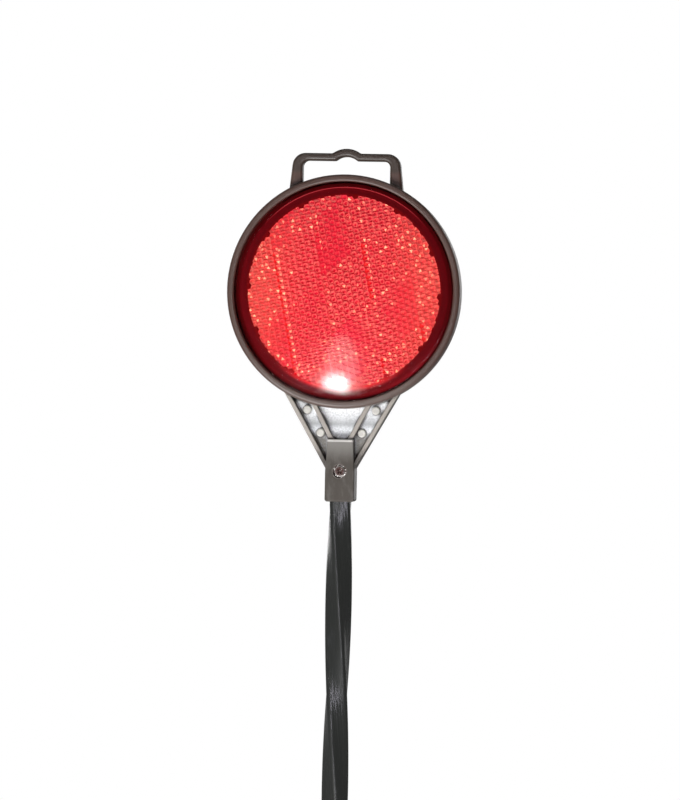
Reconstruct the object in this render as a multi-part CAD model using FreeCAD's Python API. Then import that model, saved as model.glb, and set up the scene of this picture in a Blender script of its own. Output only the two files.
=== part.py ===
import FreeCAD, Part

import math
import os

# Driveway snow marker: a round reflector that faces both ways, in a two-part plastic housing, clamped
# by a screw on the top of a twisted square steel stake.
#
# Millimetres. +Z is up along the stake, -Y is the front and +X is to the right seen from the front.
# The origin is the tip of the stake, on its axis. Both halves of the head meet on the plane Y = 0.

Vector = FreeCAD.Vector

INCH = 25.4
FRONT = Vector(0, -1, 0)
UP = Vector(0, 0, 1)
RIGHT = Vector(1, 0, 0)
TOLERANCE = 1e-4

# Driving dimensions of the whole marker.
OVERALL_LENGTH = 36 * INCH
HOUSING_RADIUS = 1.75 * INCH
HOUSING_HALF_DEPTH = 7.0
STAKE_WIDTH = 5 / 16 * INCH
TWIST_PITCH = 11 * INCH

# Stake.
STAKE_CORNER_RADIUS = 1.1
POINT_LENGTH = 42.0
POINT_TIP_WIDTH = 1.6
TWIST_START_HEIGHT = 70.0

# Housing ring and the pocket that holds the two reflectors.
POCKET_RADIUS = 43.0
LENS_OPENING_RADIUS = 41.8
LIP_THICKNESS = 1.8
RIM_EDGE_RADIUS = 1.3
LIP_EDGE_RADIUS = 0.7
PARTING_CHAMFER = 0.2

# Hanging loop, measured from the centre of the housing.
LOOP_HEIGHT = 52.6
LOOP_BUMP_HEIGHT = 54.4
LOOP_BUMP_HALF_WIDTH = 5.4
LOOP_INNER_HEIGHT = 49.75
LOOP_NOTCH_HEIGHT = 51.35
LOOP_NOTCH_HALF_WIDTH = 4.0
LOOP_TOP_HALF_WIDTH = 20.2
LOOP_FOOT_HALF_WIDTH = 21.9
LOOP_INNER_HALF_WIDTH = 16.6
LOOP_OUTER_CORNER = 5.0
LOOP_INNER_CORNER = 2.3
LOOP_BLEND_RADIUS = 1.5
LOOP_HALF_DEPTH = 3.0
LOOP_EDGE_RADIUS = 1.2
LOOP_FOOT_HEIGHT = 37.0

# Neck: a thin web with ribs that converge on the socket, heights from the centre of the housing.
NECK_TOP = -37.2
NECK_TOP_HALF_WIDTH = 22.72
NECK_BOTTOM = -66.8
NECK_BOTTOM_HALF_WIDTH = 5.9
WEB_HALF_THICKNESS = 2.0
RIB_HALF_DEPTH = 5.2
OUTER_RIB_WIDTH = 1.6
INNER_RIB_WIDTH = 1.65
RIB_EDGE_RADIUS = 0.35
OUTER_RIB_ROOT_RADIUS = 0.9
INNER_RIB_ROOT_RADIUS = 0.3
INNER_RIB_TOP = (10.9, -42.0)
INNER_RIB_BOTTOM = (2.85, -57.5)

# Socket block on the bottom of the neck.
SOCKET_TOP = -56.2
SOCKET_MOUTH = -79.9
SOCKET_TOP_HALF_WIDTH = 4.95
SOCKET_HALF_WIDTH = 5.6
SOCKET_TAPER_END = -68.5
SOCKET_HALF_DEPTH = 7.0
SOCKET_EDGE_RADIUS = 0.6
SOCKET_CORNER_RADIUS = 1.0
SOCKET_BORE_LENGTH = 21.6
STAKE_CLEARANCE = 0.05

# Reflector lens and the plate that closes it behind, depths from the parting plane.
LENS_FRONT = 6.2
LENS_STEP = 5.6
LENS_BACK = 3.6
LENS_SKIRT_END = 2.0
LENS_CLEARANCE = 0.1
LENS_STEP_RADIUS = 40.3
LENS_SHOULDER = 0.6
LENS_SKIRT_WIDTH = 1.8

# Rivets through the two webs.
RIVET_SHANK_RADIUS = 1.15
RIVET_HEAD_RADIUS = 1.6
RIVET_HEAD_HEIGHT = 1.1
RIVET_CLEARANCE = 0.05
RIVET_PLACES = [(13.1, -45.1), (7.9, -53.8)]

# Clamping screw in the front of the socket, with a plain washer under its head.
SCREW_HEIGHT = -68.35
SCREW_SHANK_RADIUS = 1.25
SCREW_HEAD_RADIUS = 1.95
SCREW_HEAD_HEIGHT = 1.0
SCREW_POINT_LENGTH = 0.5
SCREW_POINT_RADIUS = 0.7
SCREW_CLEARANCE = 0.05
SCREW_TIP_GAP = 0.03
COUNTERBORE_RADIUS = 2.65
COUNTERBORE_DEPTH = 1.5
WASHER_RADIUS = 2.45
WASHER_THICKNESS = 0.35
RECESS_WIDTH = 0.55
RECESS_LENGTH = 2.2
RECESS_DEPTH = 0.7

# Sizes and heights worked out from the driving dimensions.
LENS_RADIUS = POCKET_RADIUS - LENS_CLEARANCE
HEAD_CENTRE = OVERALL_LENGTH - LOOP_BUMP_HEIGHT
SOCKET_MOUTH_HEIGHT = HEAD_CENTRE + SOCKET_MOUTH
STAKE_TOP_HEIGHT = SOCKET_MOUTH_HEIGHT + SOCKET_BORE_LENGTH - STAKE_CLEARANCE


def head_point(x, z, y=0.0):
    """A point given by its distances from the centre of the housing."""
    return Vector(x, y, HEAD_CENTRE + z)


def face_from_edges(edges):
    return Part.Face(Part.Wire(edges))


def polygon_plate(corners, depth):
    """A flat plate with straight sides, from the parting plane to a depth in front of it."""
    points = [head_point(x, z) for x, z in corners]
    face = Part.Face(Part.makePolygon(points + points[:1]))
    return face.extrude(FRONT * depth)


def disc(radius, depth):
    """A round plate on the housing's axis, from the parting plane to a depth in front of it."""
    return Part.makeCylinder(radius, depth, head_point(0, 0), FRONT)


def turned(profile):
    """A solid of revolution about the housing's axis, from (radius, depth) corners."""
    points = [head_point(radius, 0, -depth) for radius, depth in profile]
    face = Part.Face(Part.makePolygon(points + points[:1]))
    return face.revolve(head_point(0, 0), FRONT, 360)


def rear_half(shape):
    return shape.mirror(Vector(0, 0, 0), Vector(0, 1, 0))


def edges_where(shape, test):
    return [edge for edge in shape.Edges if test(edge)]


def middle(edge):
    return edge.valueAt((edge.FirstParameter + edge.LastParameter) / 2)


def edge_at_depth(depth):
    """A test for edges that lie wholly at one depth in front of the parting plane."""
    def test(edge):
        points = [vertex.Point for vertex in edge.Vertexes] + [middle(edge)]
        return all(abs(point.y + depth) < TOLERANCE for point in points)
    return test


def circle_edges(shape, radius, depth):
    """The round edges of one radius at one depth in front of the parting plane."""
    at_depth = edge_at_depth(depth)
    return edges_where(shape, lambda edge: at_depth(edge) and abs(edge.Curve.Radius - radius) < TOLERANCE)


def depthwise_edges(shape, x, z):
    """The edges of a plate that run front to back through (x, z)."""
    corner = head_point(x, z)

    def test(edge):
        start, end = edge.Vertexes[0].Point, edge.Vertexes[-1].Point
        runs_back = math.hypot(start.x - end.x, start.z - end.z) < TOLERANCE < abs(start.y - end.y)
        return runs_back and math.hypot(start.x - corner.x, start.z - corner.z) < TOLERANCE
    return edges_where(shape, test)


def rounded_square(width, corner_radius, height, turn=0.0):
    """A closed wire: a square with round corners, level at one height and turned about the stake's axis."""
    half = width / 2
    flat = half - corner_radius
    edges = []
    for quarter in range(4):
        side = Part.makeLine(Vector(half, -flat, height), Vector(half, flat, height))
        centre = Vector(flat, flat, height)
        arc_middle = centre + Vector(math.cos(math.pi / 4), math.sin(math.pi / 4), 0) * corner_radius
        corner = Part.Arc(Vector(half, flat, height), arc_middle, Vector(flat, half, height)).toShape()
        for edge in (side, corner):
            edge.rotate(Vector(0, 0, height), UP, 90 * quarter + turn)
            edges.append(edge)
    return Part.Wire(Part.__sortEdges__(edges))


def straight_bar(width, corner_radius, bottom, top):
    section = Part.Face(rounded_square(width, corner_radius, bottom))
    return section.extrude(UP * (top - bottom))


def twisted_bar(bottom, top):
    """The square bar between two heights, with a left-handed twist and its top end square to the front."""
    length = top - bottom
    spine = Part.Wire(Part.makeLine(Vector(0, 0, top), Vector(0, 0, bottom)))
    guide = Part.makeLongHelix(TWIST_PITCH, length, STAKE_WIDTH, 0, True)
    guide.rotate(Vector(0, 0, 0), RIGHT, 180)
    guide.translate(UP * top)
    sweep = Part.BRepOffsetAPI.MakePipeShell(spine)
    sweep.setAuxiliarySpine(Part.Wire(guide.Edges), True, 0)
    sweep.add(rounded_square(STAKE_WIDTH, STAKE_CORNER_RADIUS, top))
    sweep.build()
    sweep.makeSolid()
    return sweep.shape()


def make_stake():
    twisted_length = SOCKET_MOUTH_HEIGHT - TWIST_START_HEIGHT
    bottom_turn = 360 * twisted_length / TWIST_PITCH
    bar = straight_bar(STAKE_WIDTH, STAKE_CORNER_RADIUS, SOCKET_MOUTH_HEIGHT, STAKE_TOP_HEIGHT)
    twist = twisted_bar(TWIST_START_HEIGHT, SOCKET_MOUTH_HEIGHT)
    foot = straight_bar(STAKE_WIDTH, STAKE_CORNER_RADIUS, POINT_LENGTH, TWIST_START_HEIGHT)
    tip_corner = STAKE_CORNER_RADIUS * POINT_TIP_WIDTH / STAKE_WIDTH
    point = Part.makeLoft(
        [
            rounded_square(POINT_TIP_WIDTH, tip_corner, 0),
            rounded_square(STAKE_WIDTH, STAKE_CORNER_RADIUS, POINT_LENGTH),
        ],
        True,
        True,
    )
    for piece in (foot, point):
        piece.rotate(Vector(0, 0, 0), UP, bottom_turn)
    return bar.fuse([twist, foot, point])


def make_ring():
    """The front half of the round housing: a wall, and a lip in front that keeps the lens in."""
    wall = disc(HOUSING_RADIUS, HOUSING_HALF_DEPTH)
    wall = wall.makeFillet(RIM_EDGE_RADIUS, circle_edges(wall, HOUSING_RADIUS, HOUSING_HALF_DEPTH))
    wall = wall.makeChamfer(PARTING_CHAMFER, circle_edges(wall, HOUSING_RADIUS, 0))
    ring = wall.cut(disc(LENS_OPENING_RADIUS, HOUSING_HALF_DEPTH))
    return ring.makeFillet(LIP_EDGE_RADIUS, circle_edges(ring, LENS_OPENING_RADIUS, HOUSING_HALF_DEPTH))


def make_pocket():
    """The space behind the lip that both reflectors fill."""
    return disc(POCKET_RADIUS, HOUSING_HALF_DEPTH - LIP_THICKNESS)


def arch(half_width, foot, crown):
    """An arc over the loop's middle, from the right foot to the left foot."""
    right, top, left = head_point(half_width, foot), head_point(0, crown), head_point(-half_width, foot)
    return Part.Arc(right, top, left).toShape()


def loop_outline(foot_half_width, top_half_width, foot, top, arch_half_width, crown):
    """The closed outline of a loop: two sides, a level top and an arch in its middle."""
    corners = [
        head_point(-arch_half_width, top),
        head_point(-top_half_width, top),
        head_point(-foot_half_width, foot),
        head_point(foot_half_width, foot),
        head_point(top_half_width, top),
        head_point(arch_half_width, top),
    ]
    edges = [Part.makeLine(start, end) for start, end in zip(corners, corners[1:])]
    edges.append(arch(arch_half_width, top, crown))
    return face_from_edges(edges)


def make_loop():
    """The front half of the hanging loop."""
    outer = loop_outline(
        LOOP_FOOT_HALF_WIDTH,
        LOOP_TOP_HALF_WIDTH,
        LOOP_FOOT_HEIGHT,
        LOOP_HEIGHT,
        LOOP_BUMP_HALF_WIDTH,
        LOOP_BUMP_HEIGHT,
    ).extrude(FRONT * LOOP_HALF_DEPTH)
    inner = loop_outline(
        LOOP_INNER_HALF_WIDTH,
        LOOP_INNER_HALF_WIDTH,
        LOOP_FOOT_HEIGHT,
        LOOP_INNER_HEIGHT,
        LOOP_NOTCH_HALF_WIDTH,
        LOOP_NOTCH_HEIGHT,
    ).extrude(FRONT * LOOP_HALF_DEPTH)
    for side in (-1, 1):
        corner = depthwise_edges(outer, side * LOOP_TOP_HALF_WIDTH, LOOP_HEIGHT)
        outer = outer.makeFillet(LOOP_OUTER_CORNER, corner)
        blend = depthwise_edges(outer, side * LOOP_BUMP_HALF_WIDTH, LOOP_HEIGHT)
        outer = outer.makeFillet(LOOP_BLEND_RADIUS, blend)
        corner = depthwise_edges(inner, side * LOOP_INNER_HALF_WIDTH, LOOP_INNER_HEIGHT)
        inner = inner.makeFillet(LOOP_INNER_CORNER, corner)
        blend = depthwise_edges(inner, side * LOOP_NOTCH_HALF_WIDTH, LOOP_INNER_HEIGHT)
        inner = inner.makeFillet(LOOP_BLEND_RADIUS, blend)
    loop = outer.cut(inner)
    at_front = edge_at_depth(LOOP_HALF_DEPTH)
    foot = HEAD_CENTRE + LOOP_FOOT_HEIGHT
    crest = edges_where(loop, lambda edge: at_front(edge) and middle(edge).z > foot + TOLERANCE)
    return loop.makeFillet(LOOP_EDGE_RADIUS, crest)


def rib(top, bottom, width, side):
    """A rib between two (x, z) points, with its centreline on them, mirrored by side."""
    top_point = head_point(side * top[0], top[1])
    bottom_point = head_point(side * bottom[0], bottom[1])
    along = (bottom_point - top_point).normalize()
    across = along.cross(FRONT) * (width / 2)
    corners = [top_point + across, top_point - across, bottom_point - across, bottom_point + across]
    face = Part.Face(Part.makePolygon(corners + corners[:1]))
    return face.extrude(FRONT * RIB_HALF_DEPTH)


def rib_edges(neck, depth):
    """The long edges of the ribs at one depth: those that fall by more than the ribs' ends do."""
    at_depth = edge_at_depth(depth)

    def test(edge):
        fall = abs(edge.Vertexes[0].Z - edge.Vertexes[-1].Z)
        return at_depth(edge) and fall > INNER_RIB_WIDTH
    return edges_where(neck, test)


def neck_slope():
    """The lean of the neck's sides from upright, in radians."""
    return math.atan2(NECK_TOP_HALF_WIDTH - NECK_BOTTOM_HALF_WIDTH, NECK_TOP - NECK_BOTTOM)


def inset_from_neck_edge(point):
    """How far a point lies inside the nearer of the neck's two sides."""
    fall = HEAD_CENTRE + NECK_TOP - point.z
    side = NECK_TOP_HALF_WIDTH - fall * math.tan(neck_slope())
    return (side - abs(point.x)) * math.cos(neck_slope())


def outer_rib_line():
    """The outer ribs' centreline: the neck's edge moved in by half a rib."""
    inset = OUTER_RIB_WIDTH / 2 / math.cos(neck_slope())
    return (NECK_TOP_HALF_WIDTH - inset, NECK_TOP), (NECK_BOTTOM_HALF_WIDTH - inset, NECK_BOTTOM)


def make_neck():
    """The front half of the web and its four ribs."""
    web = polygon_plate(
        [
            (-NECK_TOP_HALF_WIDTH, NECK_TOP),
            (NECK_TOP_HALF_WIDTH, NECK_TOP),
            (NECK_BOTTOM_HALF_WIDTH, NECK_BOTTOM),
            (-NECK_BOTTOM_HALF_WIDTH, NECK_BOTTOM),
        ],
        WEB_HALF_THICKNESS,
    )
    outer_top, outer_bottom = outer_rib_line()
    ribs = []
    for side in (-1, 1):
        ribs.append(rib(outer_top, outer_bottom, OUTER_RIB_WIDTH, side))
        ribs.append(rib(INNER_RIB_TOP, INNER_RIB_BOTTOM, INNER_RIB_WIDTH, side))
    neck = web.fuse(ribs).removeSplitter()
    clear_of_outer_rib = OUTER_RIB_WIDTH + OUTER_RIB_ROOT_RADIUS + TOLERANCE
    roots = rib_edges(neck, WEB_HALF_THICKNESS)
    beside_outer_rib = OUTER_RIB_WIDTH + TOLERANCE
    outer_roots = [edge for edge in roots if inset_from_neck_edge(middle(edge)) < beside_outer_rib]
    neck = neck.makeFillet(OUTER_RIB_ROOT_RADIUS, outer_roots)
    roots = rib_edges(neck, WEB_HALF_THICKNESS)
    inner_roots = [edge for edge in roots if inset_from_neck_edge(middle(edge)) > clear_of_outer_rib]
    neck = neck.makeFillet(INNER_RIB_ROOT_RADIUS, inner_roots)
    return neck.makeFillet(RIB_EDGE_RADIUS, rib_edges(neck, RIB_HALF_DEPTH))


def make_socket():
    """The front half of the socket block, before it is hollowed."""
    block = polygon_plate(
        [
            (-SOCKET_TOP_HALF_WIDTH, SOCKET_TOP),
            (SOCKET_TOP_HALF_WIDTH, SOCKET_TOP),
            (SOCKET_HALF_WIDTH, SOCKET_TAPER_END),
            (SOCKET_HALF_WIDTH, SOCKET_MOUTH),
            (-SOCKET_HALF_WIDTH, SOCKET_MOUTH),
            (-SOCKET_HALF_WIDTH, SOCKET_TAPER_END),
        ],
        SOCKET_HALF_DEPTH,
    )
    for side in (-1, 1):
        corner = depthwise_edges(block, side * SOCKET_HALF_WIDTH, SOCKET_MOUTH)
        block = block.makeFillet(SOCKET_CORNER_RADIUS, corner)
    return block.makeFillet(SOCKET_EDGE_RADIUS, edges_where(block, edge_at_depth(SOCKET_HALF_DEPTH)))


def stake_bore():
    """The square hole that the stake fills, open at the mouth of the socket."""
    width = STAKE_WIDTH + 2 * STAKE_CLEARANCE
    corner = STAKE_CORNER_RADIUS + STAKE_CLEARANCE
    return straight_bar(width, corner, SOCKET_MOUTH_HEIGHT, SOCKET_MOUTH_HEIGHT + SOCKET_BORE_LENGTH)


def rivet_places():
    return [(side * x, z) for x, z in RIVET_PLACES for side in (-1, 1)]


def round_hole(x, z, radius, front, back=0.0):
    return Part.makeCylinder(radius, front - back, head_point(x, z, -back), FRONT)


def make_shell():
    """The front half of the housing as one moulding, without the screw hole."""
    shell = make_ring().fuse([make_loop(), make_neck(), make_socket()])
    holes = [
        round_hole(x, z, RIVET_SHANK_RADIUS + RIVET_CLEARANCE, WEB_HALF_THICKNESS)
        for x, z in rivet_places()
    ]
    shell = shell.cut([make_pocket(), disc(LENS_OPENING_RADIUS, HOUSING_HALF_DEPTH), stake_bore()] + holes)
    return shell.removeSplitter()


def screw_hole():
    shank = round_hole(0, SCREW_HEIGHT, SCREW_SHANK_RADIUS + SCREW_CLEARANCE, SOCKET_HALF_DEPTH)
    counterbore = round_hole(
        0, SCREW_HEIGHT, COUNTERBORE_RADIUS, SOCKET_HALF_DEPTH, SOCKET_HALF_DEPTH - COUNTERBORE_DEPTH
    )
    return shank.fuse(counterbore)


def make_lens():
    """The front lens: a clear-red cup with a raised middle, a low step under the lip and a skirt behind."""
    return turned(
        [
            (0, LENS_FRONT),
            (LENS_STEP_RADIUS - LENS_SHOULDER, LENS_FRONT),
            (LENS_STEP_RADIUS, LENS_STEP),
            (LENS_OPENING_RADIUS - LENS_CLEARANCE, LENS_STEP),
            (LENS_OPENING_RADIUS - LENS_CLEARANCE, HOUSING_HALF_DEPTH - LIP_THICKNESS),
            (LENS_RADIUS, HOUSING_HALF_DEPTH - LIP_THICKNESS),
            (LENS_RADIUS, LENS_SKIRT_END),
            (LENS_RADIUS - LENS_SKIRT_WIDTH, LENS_SKIRT_END),
            (LENS_RADIUS - LENS_SKIRT_WIDTH, LENS_BACK),
            (0, LENS_BACK),
        ]
    )


def make_backing():
    """The plate that closes the front lens and keeps its prisms dry."""
    return disc(LENS_RADIUS, LENS_SKIRT_END)


def make_rivet(x, z):
    """A rivet with a low domed head on each web."""
    shank = Part.makeCylinder(
        RIVET_SHANK_RADIUS, 2 * WEB_HALF_THICKNESS, head_point(x, z, WEB_HALF_THICKNESS), FRONT
    )
    head = Part.makeCylinder(
        RIVET_HEAD_RADIUS, RIVET_HEAD_HEIGHT, head_point(x, z, -WEB_HALF_THICKNESS), FRONT
    )
    crown = edges_where(head, edge_at_depth(WEB_HALF_THICKNESS + RIVET_HEAD_HEIGHT))
    head = head.makeFillet(RIVET_HEAD_HEIGHT / 2, crown)
    return shank.fuse([head, rear_half(head)]).removeSplitter()


def washer_seat():
    """Depth of the counterbore's floor, where the washer rests."""
    return SOCKET_HALF_DEPTH - COUNTERBORE_DEPTH


def make_washer():
    seat = washer_seat()
    outer = round_hole(0, SCREW_HEIGHT, WASHER_RADIUS, seat + WASHER_THICKNESS, seat)
    inner = round_hole(0, SCREW_HEIGHT, SCREW_SHANK_RADIUS + SCREW_CLEARANCE, seat + WASHER_THICKNESS, seat)
    return outer.cut(inner)


def make_screw():
    """The screw: a low round head with a cross recess, and a shank whose blunt point meets the stake."""
    under_head = washer_seat() + WASHER_THICKNESS
    tip = STAKE_WIDTH / 2 + SCREW_TIP_GAP
    shank = round_hole(0, SCREW_HEIGHT, SCREW_SHANK_RADIUS, under_head, tip + SCREW_POINT_LENGTH)
    point = Part.makeCone(
        SCREW_POINT_RADIUS, SCREW_SHANK_RADIUS, SCREW_POINT_LENGTH, head_point(0, SCREW_HEIGHT, -tip), FRONT
    )
    head = round_hole(0, SCREW_HEIGHT, SCREW_HEAD_RADIUS, under_head + SCREW_HEAD_HEIGHT, under_head)
    crown = edges_where(head, edge_at_depth(under_head + SCREW_HEAD_HEIGHT))
    head = head.makeFillet(SCREW_HEAD_HEIGHT / 2, crown)
    floor = under_head + SCREW_HEAD_HEIGHT - RECESS_DEPTH
    for length, width in ((RECESS_LENGTH, RECESS_WIDTH), (RECESS_WIDTH, RECESS_LENGTH)):
        slot = Part.makeBox(
            length,
            RECESS_DEPTH,
            width,
            head_point(-length / 2, SCREW_HEIGHT - width / 2, -floor - RECESS_DEPTH),
        )
        slot.rotate(head_point(0, SCREW_HEIGHT), FRONT, 45)
        head = head.cut(slot)
    return head.fuse([shank, point]).removeSplitter()


def build_parts():
    shell = make_shell()
    lens = make_lens()
    backing = make_backing()
    return {
        "stake": make_stake(),
        "front_shell": shell.cut(screw_hole()),
        "rear_shell": rear_half(shell),
        "front_lens": lens,
        "rear_lens": rear_half(lens),
        "front_backing_plate": backing,
        "rear_backing_plate": rear_half(backing),
        "neck_rivets": Part.makeCompound([make_rivet(x, z) for x, z in rivet_places()]),
        "clamp_screw": make_screw(),
        "screw_washer": make_washer(),
    }


def main():
    os.makedirs("parts", exist_ok=True)
    for name, shape in build_parts().items():
        shape.exportStep(f"parts/{name}.step")
        print(f"{name}: valid {shape.isValid()}, solids {len(shape.Solids)}, volume {shape.Volume:.1f} mm3")


main()
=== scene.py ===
import cmath
import math
import random

import bmesh
import bpy
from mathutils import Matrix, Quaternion, Vector
from mathutils.geometry import tessellate_polygon

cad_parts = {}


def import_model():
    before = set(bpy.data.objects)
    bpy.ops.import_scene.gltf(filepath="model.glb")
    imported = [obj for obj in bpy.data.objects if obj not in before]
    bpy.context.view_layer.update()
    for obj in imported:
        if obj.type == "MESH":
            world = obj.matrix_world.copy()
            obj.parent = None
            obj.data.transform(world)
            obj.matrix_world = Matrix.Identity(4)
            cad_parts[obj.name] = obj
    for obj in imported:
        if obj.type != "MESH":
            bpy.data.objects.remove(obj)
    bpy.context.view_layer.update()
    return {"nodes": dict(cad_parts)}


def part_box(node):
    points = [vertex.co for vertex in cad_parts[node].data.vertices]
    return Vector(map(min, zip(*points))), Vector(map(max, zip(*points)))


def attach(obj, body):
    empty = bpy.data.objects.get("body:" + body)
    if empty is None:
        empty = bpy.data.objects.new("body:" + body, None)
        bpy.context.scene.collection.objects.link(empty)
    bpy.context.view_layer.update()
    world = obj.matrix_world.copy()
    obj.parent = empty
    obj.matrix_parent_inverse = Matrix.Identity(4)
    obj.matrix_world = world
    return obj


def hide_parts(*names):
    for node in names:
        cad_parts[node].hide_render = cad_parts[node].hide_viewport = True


# The looks of the driveway snow marker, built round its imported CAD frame.

MM = 0.001
SEED = 41

# Lens: the parts of its outline that the CAD box doesn't give. Lengths of the pieces are in millimetres.
FACE_RADIUS = 39.5
SHOULDER_RADIUS = 40.3
STEP_RADIUS = 41.7
SHOULDER_DROP = 0.6
FLANGE_DROP = 1.0
SKIRT_WIDTH = 1.8
PRISM_PLANE_DROP = 2.6

# Corner prisms moulded in the back of the lens. Those that cross the border circle are cut short there.
PRISM_AREA_RADIUS = 36.7
PRISM_BORDER_RADIUS = 36.8
LENS_SEGMENTS = 160
PRISM_PITCH = 2.43
PRISM_DEPTH = 1.5
PRISM_ROW_ANGLE = math.radians(-19)
TILE_COLUMNS = 8
TILE_ROWS = 9

# How much the prisms differ: their lean as a share of the pitch, their brightness and their glints.
CANT = 0.16
CANT_SPREAD = 0.25
LIGHT_SPREAD = 0.42
LIGHT_JITTER = 0.16
GLINT_RANGE = (0.45, 1.0)
STEEP_SEAM_GLINTS = (0.25, 0.70)
SLANTING_SEAM_GLINTS = 0.35
BORDER_GLINTS = 0.35
BORDER_FROM = 0.88

# Stake.
STAKE_WIDTH = 7.9375
TWIST_PITCH = 279.4
TWIST_END = 70.0
POINT_START = 42.0
POINT_WIDTH = 1.6
TIP_HEIGHT = 0.3
TIP_SHARE = 0.75
STAKE_CORNER = 1.35
CORNER_SHARE_AT_POINT = 0.45
TOP_BEVEL = 0.3
STAKE_STEP = 1.6

# Screw. The outline of its head's edge is a share of the head's radius and a drop below its face.
SCREW_SEGMENTS = 96
HEAD_HEIGHT = 1.0
DOME_RINGS = 30
DOME_SHARE = 0.86
DOME_DROP = 0.10
HEAD_EDGE = ((0.93, 0.14), (0.975, 0.22), (1.0, 0.36))
UNDERSIDE_RISE = 0.08
UNDERSIDE_WIDTH = 0.06
SHANK_RADIUS = 1.25
SHANK_END_RADIUS = 0.45
SHANK_START_GAP = 0.02
SHANK_END_GAP = 0.04
TAPER_LENGTH = 0.3
TAPER_SHARE = 0.55
THREAD_DEPTH = 0.28
THREAD_PITCH = 0.5
THREAD_ROWS_PER_TURN = 8
RECESS_DEPTH = 0.72
RECESS_LENGTH = 2.2
RECESS_WIDTH = 0.55
RECESS_WALL = 0.12
RECESS_RAMP = 0.45
RECESS_COLOUR_DEPTH = 0.1
RECESS_COLOUR_BELOW_HEAD = 0.2
SCREW_BRIGHT_SHARE = 0.84

# Zones of the housing's look, in metres. Each pair says where a soft change starts and where it ends.
# BELOW is measured down from the head's centre, ASIDE from its middle and DEPTH from its mid plane.
RIM_EDGE = 0.0003
LOOP_BELOW = (-0.0445, -0.0465)
# Where the low rim is lightened as painted light from below.
LOW_RIM_BELOW = (0.0240, 0.0400)
NECK_BELOW = (0.0200, 0.0250)
WEB_DEPTH = (0.0030, 0.0024)
RIB_TOP_DEPTH = (0.0040, 0.0048)
RIB_OVER_DEPTH = (0.0056, 0.0054)
RIB_END_BELOW = (0.0640, 0.0570)
BLOCK_BELOW = (0.0555, 0.0565)
BLOCK_DEPTH = (0.0050, 0.0058)
BLOCK_ASIDE = (0.0064, 0.0058)
# Where the block is lightened towards its top by painted light, and where its top edge gets a painted
# highlight.
BLOCK_LIGHT_BELOW = (0.0660, 0.0570)
BLOCK_EDGE_BELOW = (0.0574, 0.0568)
# Painted highlight bands at the top and the foot of the web, and the pockets beside the block, which get
# painted shade.
WEB_BRIGHT_BELOW = (0.0520, 0.0450)
WEB_FOOT_BELOW = (0.0500, 0.0530)
POCKET_BELOW = (0.0525, 0.0565)
POCKET_ASIDE = (0.0050, 0.0060)
# Where the open web is kept free of painted crevice shade, and how far round the painted crevice shade
# looks.
OPEN_WEB_BELOW = (0.0480, 0.0462)
OPEN_WEB_ASIDE = (0.0125, 0.0105)
OPEN_FOOT_BELOW = (0.0552, 0.0540)
OPEN_FOOT_ASIDE = (0.0060, 0.0035)
CREVICE_REACH = 0.0016

# Camera: as far off as a telephoto shot, a little to the right of square on.
CAMERA_DISTANCE = 1.8
CAMERA_AZIMUTH = math.radians(4.7)
CAMERA_ROLL = math.radians(1.12)
PICTURE_HEIGHT = 0.3048
AIM_BELOW_HEAD = 0.04126
AIM_ASIDE = -0.00095

# How bright the unlit room is, in front of the object and behind it.
ROOM_FRONT = 0.03
ROOM_BACK = 0.22

# Floor, in metres, and how much of its own shading the camera doesn't see.
FLOOR_REACH = 6.0
FLOOR_EVENNESS = 0.90
STAKE_LIGHT = (0.90, 0.87, 1.0)


# ---------------------------------------------------------------- node recipes


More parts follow.
